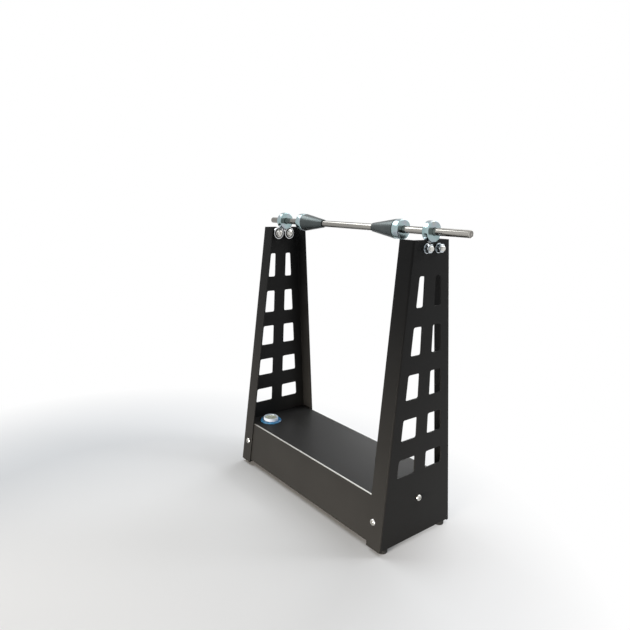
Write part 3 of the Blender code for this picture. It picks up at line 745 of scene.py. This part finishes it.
def add_ring(node, outward, body):
    """A clamped ring about the shaft's own axis, and its set screw in a hole."""
    size = Round(node, (outward, 0, 0))
    low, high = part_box(node)
    size.start = Vector((low.x if outward > 0 else high.x, *shaft_centre[1:]))
    turn = Vector((outward, 0, 0)).to_track_quat("Z", "Y").to_matrix().to_4x4()
    size.place = Matrix.Translation(size.start) @ turn
    size.radius = (high.z - low.z) / 2
    size.bore = rod_size.radius + RING_CLEARANCE
    screw = Round(node + "_set_screw", (0, 1, 0))
    hole = prism(SMALL_STEPS, screw.radius + SET_SCREW_GAP, -screw.radius, size.radius * 2)
    hole.transform(size.place.inverted() @ screw.place)
    ring = carved(spun(ring_outline(size), closed=True), hole)
    add_piece(node + "_plated", ring, zinc_ring, body, size.place, [node])
    add_piece(node + "_screw", set_screw(screw), stainless, body, screw.place, [screw.node])
    print(node, "radius", round(size.radius, 4), "length", round(size.length, 4))


zinc_ring = zinc("zinc_ring", shaft_centre)
for end, outward in ENDS:
    add_ring(end + "_support_ring", outward, "shaft")
for end, outward in ENDS:
    add_ring(end + "_cone_collar", outward, end + "_centring")

# %% [markdown]
# ## The cones
# Each cone centres a wheel's hub. It is turned from plain steel and left dark, with a short parallel land at
# its big end and a rim that is barely broken.

# %% Turn the cones
CONE_LAND = 0.002
CONE_RIM = 0.0006
CONE_EDGE = 0.0001


def cone_outline(size):
    """From the rim of a cone's big end down to its tip, and back through its bore."""
    tip = size.low_radius()
    outer = [
        (size.radius - CONE_RIM, size.length),
        (size.radius, size.length - CONE_RIM),
        (size.radius, size.length - CONE_LAND),
        (tip, CONE_RIM / 2),
        (tip - CONE_RIM / 2, 0),
    ]
    return outer + [(size.bore, 0), (size.bore, size.length)]


cone_steel = turned_steel("cone_steel", shaft_centre)
for end, outward in ENDS:
    size = Round(end + "_cone", (outward, 0, 0))
    cone = soften(spun(cone_outline(size), closed=True), CONE_EDGE)
    body = end + "_centring"
    add_piece(end + "_cone_turned", cone, cone_steel, body, size.place, [size.node])
    print(size.node, "radius", round(size.low_radius(), 4), "to", round(size.radius, 4))

# %% [markdown]
# ## Screw threads
# A thread is one tooth carried round and up at a steady rate. The spin operator does this if it also moves a
# little along the axis at each step. The turns meet exactly and are merged, and two plane cuts square off the
# ends, which are then closed.

# %% A thread, swept and cut to length
THREAD_STEPS = 36
THREAD_DEPTH_SHARE = 0.6
THREAD_CREST = (0.44, 0.56)
THREAD_RUN_IN = 1.5
THREAD_WELD = 5 * WELD


def thread(radius, pitch, low, high):
    """A threaded bar along Z between two heights."""
    root = radius - THREAD_DEPTH_SHARE * pitch
    tooth = [(root, 0), *[(radius, share * pitch) for share in THREAD_CREST], (root, pitch)]
    turns = math.ceil((high - low) / pitch) + 2
    bm = bmesh.new()
    corners = [bm.verts.new((r, 0, low - THREAD_RUN_IN * pitch + h)) for r, h in tooth]
    edges = [bm.edges.new(pair) for pair in zip(corners, corners[1:])]
    bmesh.ops.spin(
        bm,
        geom=corners + edges,
        cent=(0, 0, 0),
        axis=(0, 0, 1),
        dvec=(0, 0, pitch / THREAD_STEPS),
        angle=math.tau * turns,
        steps=THREAD_STEPS * turns,
        use_merge=False,
        use_duplicate=False,
    )
    bmesh.ops.remove_doubles(bm, verts=bm.verts, dist=THREAD_WELD)
    for height, outward in ((low, -1), (high, 1)):
        bmesh.ops.bisect_plane(
            bm,
            geom=[*bm.verts, *bm.edges, *bm.faces],
            plane_co=(0, 0, height),
            plane_no=(0, 0, outward),
            clear_outer=True,
        )
    rims = [edge for edge in bm.edges if edge.is_boundary]
    bmesh.ops.holes_fill(bm, edges=rims)
    bmesh.ops.recalc_face_normals(bm, faces=bm.faces)
    return bm


# %% [markdown]
# ## The bearing bolts
# Each bolt holds one bearing: its flanged button head is inside the upright, and its threaded end stands out
# of a nut on the outside. The head's dome is a quarter of an ellipse, over a thin flange, with a hexagonal
# socket. The thread is a bar of its own round the end of the head's plain core. The core starts a little
# further in, so that their end faces never lie in one plane.

# %% Heads with a socket
HEAD_STEPS = 8


def dome_outline(radius, rim, height, crown):
    """A button head from its flat crown down to its seat, all counted from the seat."""
    angles = [math.pi / 2 * step / HEAD_STEPS for step in range(HEAD_STEPS + 1)]
    dome = [(crown + (radius - crown) * math.sin(a), rim + (height - rim) * math.cos(a)) for a in angles]
    return [(0, height), *dome, (radius, 0)]


def headed(size, shank, seat, socket_radius, socket_depth, flange=None, start=0):
    """A button-headed screw from its tip at one height to its seat at another, with or without a flange."""
    height = size.length - seat
    overhang, rim = flange or (0, height / 4)
    head = dome_outline(size.radius - overhang, rim, height, (size.radius - overhang) / 2)
    if flange:
        edge = overhang / 5
        head[-1:] = [(size.radius - edge, rim - edge), (size.radius, rim - 2 * edge), (size.radius, 0)]
    tip = shank / 6
    stem = [(shank, seat), (shank, start + tip), (shank - tip, start), (0, start)]
    outline = [(r, seat + h) for r, h in head] + stem
    socket = prism(HEXAGON, socket_radius, size.length - socket_depth, 2 * size.length)
    return carved(spun(outline, SMALL_STEPS), socket)


# %% Nuts, washers and spacers
NUT_FACE_SHARE = 0.97
NUT_CORNER_SHARE = 1.01
NUT_SLOPE_SHARE = 1.6
NUT_MOUTH_SHARE = 1.18


def nut(size, bore):
    """A hexagonal nut whose corners are turned down at both ends and whose bore is chamfered."""
    corner = size.radius
    flats = corner * math.cos(math.pi / HEXAGON)
    slope = (corner - flats) * math.tan(math.pi / HEXAGON)
    shoulder = (corner * NUT_CORNER_SHARE, size.length - slope * NUT_SLOPE_SHARE)
    half = [(flats * NUT_FACE_SHARE, size.length), shoulder]
    barrel = [(0, size.length), *half, *[(r, size.length - h) for r, h in reversed(half)], (0, 0)]
    turned = carved(prism(HEXAGON, corner, 0, size.length), spun(barrel, FINE_STEPS), "INTERSECT")
    mouth = bore * NUT_MOUTH_SHARE
    funnel = size.length - (mouth - bore)
    drill = [(0, 2 * size.length), (mouth, 2 * size.length), (mouth, size.length), (bore, funnel)]
    drill += [(bore, -size.length), (0, -size.length)]
    return carved(turned, spun(drill, SMALL_STEPS))


def washer(size, edge):
    """A flat ring, which is also what a bearing's inner ring is."""
    outer, bore = size.radius, size.bore
    corners = [(outer, size.length), (outer, 0), (bore, 0), (bore, size.length)]
    return soften(spun(corners, SMALL_STEPS, closed=True), edge)


# %% Ball bearings
RING_LAND = 0.0018
RACE_ROUNDING = 0.0004
RACE_ROUND_STEPS = 3
BORE_BANDS = (0.2, 0.8)
SEAL_STEP = 0.00025


def outer_ring_outline(size):
    """A bearing's outer ring with rounded rims, and a bore in three bands between its faces."""
    land = size.radius - RING_LAND
    rim = quarter_round(size.radius, size.length, RACE_ROUNDING, RACE_ROUND_STEPS)
    top = [(land, size.length), *rim]
    bore = [(land, size.length * share) for share in BORE_BANDS]
    return top + [(r, size.length - h) for r, h in reversed(top)] + bore


def seal_outline(inner, outer, face):
    """A moulded seal: a flat washer with a shallow step half-way and a lip at its inner edge."""
    middle = (inner + outer) / 2
    return [
        (inner, face - 2 * SEAL_STEP),
        (inner, face),
        (inner + 2 * SEAL_STEP, face),
        (inner + 3 * SEAL_STEP, face - SEAL_STEP),
        (middle, face - SEAL_STEP),
        (middle + SEAL_STEP, face),
        (outer, face),
        (outer, face - 2 * SEAL_STEP),
    ]


# %% [markdown]
# ## Putting the bearings on their bolts
# The four bearings are alike, so one loop builds them. The bearing's outer ring and its seals turn together,
# and ride on the bearing's own body; the inner ring, bolt, nut, washer and spacer stay with the stand.

# %% Put one bearing together
SEAL_RECESS = 0.0004
EDGE = 0.00012
BORE_EDGE = 0.0003
CORE_SHARE = 0.8
CORE_START = 0.001
THREAD_PITCH = 0.00125
THREAD_SHARE = 0.75
NUT_BORE_SHARE = 0.93
BOLT_SOCKET = (0.0029, 0.0027)
BOLT_FLANGE = (0.0012, 0.0016)


def add_bearing(stem, outward):
    """The turning ring with its two seals, and the inner ring that stays on the bolt."""
    outer = Round(stem + "outer_ring", (outward, 0, 0))
    inner = Round(stem + "inner_ring", (outward, 0, 0))
    body = stem + "bearing"
    ring = soften(spun(outer_ring_outline(outer), closed=True), EDGE, 1)
    add_piece(outer.node + "_ground", ring, bearing_steel, body, outer.place, [outer.node])
    face = outer.length - SEAL_RECESS
    turned_over = Matrix.Translation((0, 0, outer.length)) @ Matrix.Rotation(math.pi, 4, "X")
    for label, side in (("_seal_out", Matrix()), ("_seal_in", turned_over)):
        moulded = spun(seal_outline(inner.radius + SEAL_STEP, outer.radius - RING_LAND, face), closed=True)
        add_piece(outer.node + label, moulded, seal, body, outer.place @ side)
    bore_ring = washer(inner, BORE_EDGE)
    name = inner.node + "_ground"
    add_piece(name, bore_ring, bearing_steel, "stand", inner.place, [inner.node])


def add_bolt(node, outward):
    """The head with its plain core, and the thread round the core's outer end."""
    bolt = Round(node, (-outward, 0, 0))
    shank, seat = bolt.low_radius(), bolt.lowest_at(bolt.radius)
    core, end = shank * CORE_SHARE, seat * THREAD_SHARE
    head = headed(bolt, core, seat, *BOLT_SOCKET, BOLT_FLANGE, CORE_START)
    add_piece(node + "_head", head, stainless, "stand", bolt.place, [node])
    envelope = spun([(0, 0), (core, 0), (shank, shank - core), (shank, end), (0, end)])
    tip = carved(thread(shank, THREAD_PITCH, -SLACK, seat), envelope, "INTERSECT")
    add_piece(node + "_thread", tip, stainless, "stand", bolt.place)
    return shank


def add_nut(node, outward, shank):
    """A nut whose corners lie where the built one's do."""
    size = Round(node, (outward, 0, 0))
    turn = Matrix.Rotation(size.corner_angle - math.pi / 2, 4, "Z")
    hexagon = nut(size, shank * NUT_BORE_SHARE)
    add_piece(node + "_plated", hexagon, fastener_zinc, "stand", size.place @ turn, [node])


def add_flat_ring(node, outward):
    """A washer or a spacer."""
    size = Round(node, (outward, 0, 0))
    add_piece(node + "_plated", washer(size, EDGE), fastener_zinc, "stand", size.place, [node])


# %% Build the four bearings
for end, outward in ENDS:
    for side in ("front", "back"):
        stem = f"{end}_{side}_"
        add_bearing(stem, outward)
        shank = add_bolt(stem + "bolt", outward)
        add_nut(stem + "nut", outward, shank)
        add_flat_ring(stem + "washer", outward)
        add_flat_ring(stem + "spacer", outward)
print("bolt shank radius", round(shank, 5))

# %% [markdown]
# ## Panel screws
# Six button-headed screws hold the uprights to the base. Four go square into the slanted sides, so their axis
# leans with the taper, which was read off an upright's own corners.

# %% Build the panel screws
PANEL_SOCKET = (0.0023, 0.0021)


def panel_screw(node, direction):
    """A button-headed screw along a direction that points out of the sheet."""
    size = Round(node, direction)
    screw = headed(size, size.low_radius(), size.lowest_at(size.radius), *PANEL_SOCKET)
    add_piece(node + "_button", screw, stainless, "stand", size.place, [node])
    print(node, "length", round(size.length, 4))


for end, outward in ENDS:
    panel_screw(end + "_plate_screw", (outward, 0, 0))
    for side, sign in (("front", -1), ("back", 1)):
        panel_screw(f"{end}_{side}_flange_screw", (0, sign * math.cos(lean), math.sin(lean)))

# %% [markdown]
# ## Feet
# Each foot is a moulded rubber disc with a rounded lower edge and a recess that hides its screw.

# %% Build the feet
FOOT_ROUNDING = 0.0012
FOOT_TOP_SHARE = 0.96
FOOT_SHOULDER_SHARE = 0.8
FOOT_SOCKET = (0.0014, 0.0012)


def foot_outline(size, head_radius, hole, depth):
    """A foot's outside from its top down, then the recess for the screw's head, then its hole."""
    outer = [(size.radius * FOOT_TOP_SHARE, size.length), (size.radius, size.length * FOOT_SHOULDER_SHARE)]
    outer += [(r, size.length - h) for r, h in quarter_round(size.radius, size.length, FOOT_ROUNDING)[::-1]]
    return outer + [(head_radius, 0), (head_radius, depth), (hole, depth), (hole, size.length)]


for end in ("near", "far"):
    for side in ("front", "back"):
        stem = f"{end}_{side}_foot"
        size = Round(stem, (0, 0, 1))
        recess = min(r for r, h in size.outline if h < SLACK)
        depth = min(h for r, h in size.outline if r < size.bore + SLACK)
        foot = soften(spun(foot_outline(size, recess, size.bore, depth), closed=True), EDGE)
        add_piece(stem + "_moulded", foot, rubber, "stand", size.place, [stem])
        screw = Round(stem + "_screw", (0, 0, -1))
        pan = headed(screw, screw.low_radius(), screw.lowest_at(screw.radius), *FOOT_SOCKET)
        add_piece(stem + "_pan_screw", pan, fastener_zinc, "stand", screw.place, [screw.node])
        print(stem, "radius", round(size.radius, 4), "height", round(size.length, 4))

# %% [markdown]
# ## The bull's-eye level
# A blue flange holds a silver cup. In the cup, under a clear dome, lies a pale yellow-green liquid with a
# centring ring and a bubble. The dome is one lens, the liquid a disc below it, and the ring and the bubble
# sit just under its face.

# %% Build the level
CUP_EDGE = 0.0007
RING_MARK_RADIUS = 0.0042
RING_MARK_WIDTH = 0.0005
RING_MARK_HEIGHT = 0.0001
BUBBLE_RADIUS = 0.0032
BUBBLE_FLATNESS = 0.08
DOME_THICKNESS = 0.0012
DOME_STEPS = 10
LEVEL_GAP = 0.0002


def level_piece(name, bm, material, size, stands_for=()):
    return add_piece(name, bm, material, "stand", size.place, stands_for)


flange = Round("level_flange", (0, 0, 1))
cup = Round("level_body", (0, 0, 1))
vial = Round("level_vial", (0, 0, 1))

rim = quarter_round(flange.radius, flange.length, flange.length / 2)
flange_ring = spun([(flange.bore, flange.length), *rim, (flange.radius, 0), (flange.bore, 0)], closed=True)
soften(flange_ring, EDGE)
level_piece("level_flange_blue", flange_ring, blue_plastic, flange, ["level_flange"])

inside = vial.radius + LEVEL_GAP
floor_height = vial.start.z - cup.start.z
mouth = [(inside, cup.length - CUP_EDGE), (inside + CUP_EDGE / 2, cup.length)]
wall = [*quarter_round(cup.radius, cup.length, CUP_EDGE), (cup.radius, 0), (0, 0)]
silver_cup = spun([(0, floor_height), (inside, floor_height), *mouth, *wall])
level_piece("level_cup", silver_cup, level_silver, cup, ["level_body"])
print("level radius", round(flange.radius, 4), "cup height", round(cup.length, 4))

# %% Fill the level
edge_height = max(h for r, h in vial.outline if r > vial.radius - SLACK)
shares = [step / DOME_STEPS for step in range(DOME_STEPS + 1)]
dome = [(vial.radius * s, edge_height + (vial.length - edge_height) * (1 - s * s)) for s in shares]
below = [(r, h - DOME_THICKNESS) for r, h in reversed(dome)]
level_piece("level_dome", spun(dome + below), dome_clear, vial, ["level_vial"])

liquid_top = edge_height - DOME_THICKNESS - LEVEL_GAP
pool = spun([(0, liquid_top), (vial.radius, liquid_top), (vial.radius, 0), (0, 0)])
level_piece("level_liquid", pool, liquid, vial)
mark_inner, mark_outer = RING_MARK_RADIUS, RING_MARK_RADIUS + RING_MARK_WIDTH
mark_top = liquid_top + RING_MARK_HEIGHT
ring_mark = [(r, liquid_top) for r in (mark_outer, mark_inner)]
ring_mark += [(r, mark_top) for r in (mark_inner, mark_outer)]
level_piece("level_ring_mark", spun(ring_mark, closed=True), mark, vial)
bubble = bmesh.new()
bmesh.ops.create_uvsphere(bubble, u_segments=32, v_segments=16, radius=BUBBLE_RADIUS)
bubble.transform(Matrix.Translation((0, 0, liquid_top)) @ Matrix.Diagonal((1, 1, BUBBLE_FLATNESS, 1)))
level_piece("level_bubble", bubble, bubble_pale, vial)
print("liquid", round(liquid_top, 5), "deep, dome", round(vial.length - edge_height, 5), "high")

# %% [markdown]
# ## Studio
# The photograph has a white ground with a soft shadow to the left and below, and its face on the right stays
# nearly black. The floor here is pale and fades to the white of the background away from the stand. A bright
# sky would light every face alike, so it is white only where the camera or a reflection sees it, and lamps
# do the lighting. The one high on the left draws the line along the top of the shaft, and the window behind
# lights the base. The long low one in front is warm and held to a narrow beam, as by a grid: it lights the
# skirt and leaves the upper ends of the uprights dark. A weaker one at the back shows the folds from there,
# and a small one on the right puts a bright sector on the turned rings.

# %% Floor
FLOOR_HALF = 6.0
FLOOR_COLOUR = (0.76, 0.77, 0.79)
FLOOR_GLOSS = 0.1
FLOOR_FADE_CENTRE = (-0.10, -0.35, 0)
FLOOR_FADE_START = 0.34
FLOOR_FADE_WIDTH = 0.36


def floor_finish():
    """A pale, matt floor that fades to pure white further off."""
    floor = Finish("studio_floor", FLOOR_COLOUR, roughness=0.9)
    floor.put("Specular IOR Level", FLOOR_GLOSS)
    away = floor.distance(floor.place(FLOOR_FADE_CENTRE))
    fade = ((away - FLOOR_FADE_START) * (1 / FLOOR_FADE_WIDTH)).clamped()
    lit = Signal(floor, floor.shader.outputs["BSDF"])
    white = floor.node("ShaderNodeEmission")
    faded = floor.node("ShaderNodeMixShader", {}, {0: fade * floor.backdrop_seen(), 1: lit, 2: white})
    floor.connect(floor.tree.nodes["Material Output"].inputs["Surface"], faded)
    return floor.material


floor_bm = bmesh.new()
bmesh.ops.create_grid(floor_bm, x_segments=1, y_segments=1, size=FLOOR_HALF)
floor_mesh = bpy.data.meshes.new("studio_floor")
floor_bm.to_mesh(floor_mesh)
floor_bm.free()
floor_mesh.materials.append(floor_finish())
floor = bpy.data.objects.new("studio_floor", floor_mesh)
bpy.context.scene.collection.objects.link(floor)
print("floor white from", round(FLOOR_FADE_START + FLOOR_FADE_WIDTH, 3), "off its fade's centre")

# %% Sky
SKY_LEVEL = 0.06


def light_sky():
    """A sky that is white to look at and gives only a little light."""
    world = bpy.data.worlds.new("studio_sky")
    bpy.context.scene.world = world
    world.use_nodes = True
    sky = Graph(world.node_tree)
    background = sky.tree.nodes["Background"]
    background.inputs["Color"].default_value = (1, 1, 1, 1)
    sky.connect(background.inputs["Strength"], SKY_LEVEL + (1 - SKY_LEVEL) * sky.backdrop_seen())


light_sky()
print("sky gives", SKY_LEVEL, "of the white that it shows")


# %% Lamps
def soft_lamp(name, place, target, size, power, colour=(1, 1, 1), beam=math.pi):
    """A rectangular lamp aimed at a point, with its light held to a beam of a given angle."""
    lamp = bpy.data.lights.new(name, "AREA")
    lamp.shape = "RECTANGLE"
    lamp.size, lamp.size_y = size
    lamp.energy = power
    lamp.color = colour
    lamp.spread = beam
    holder = bpy.data.objects.new(name, lamp)
    bpy.context.scene.collection.objects.link(holder)
    facing = (Vector(target) - Vector(place)).to_track_quat("-Z", "Y").to_matrix().to_4x4()
    holder.matrix_world = Matrix.Translation(place) @ facing
    return holder


LAMP_TARGET = (0, 0, 0.25)
LOW_BEAM = math.radians(30)
soft_lamp("window", (0.12, 1.4, 1.9), LAMP_TARGET, (2.4, 2.4), 36, (0.97, 0.99, 1.0))
soft_lamp("front", (0.25, -1.5, 0.16), (0, 0, -0.02), (0.8, 0.28), 2.2, (1.0, 0.90, 0.77), LOW_BEAM)
soft_lamp("left", (-1.3, -0.6, 2.0), LAMP_TARGET, (1.7, 0.8), 25, (0.96, 0.99, 1.0))
soft_lamp("back", (-0.5, 1.4, 0.3), (0, 0, 0.2), (1.4, 0.5), 12)
soft_lamp("sparkle", (1.05, 1.35, 1.7), (0, 0, 0.5), (0.35, 0.35), 5)
print("lamps", {lamp.name: round(lamp.energy, 1) for lamp in bpy.data.lights})
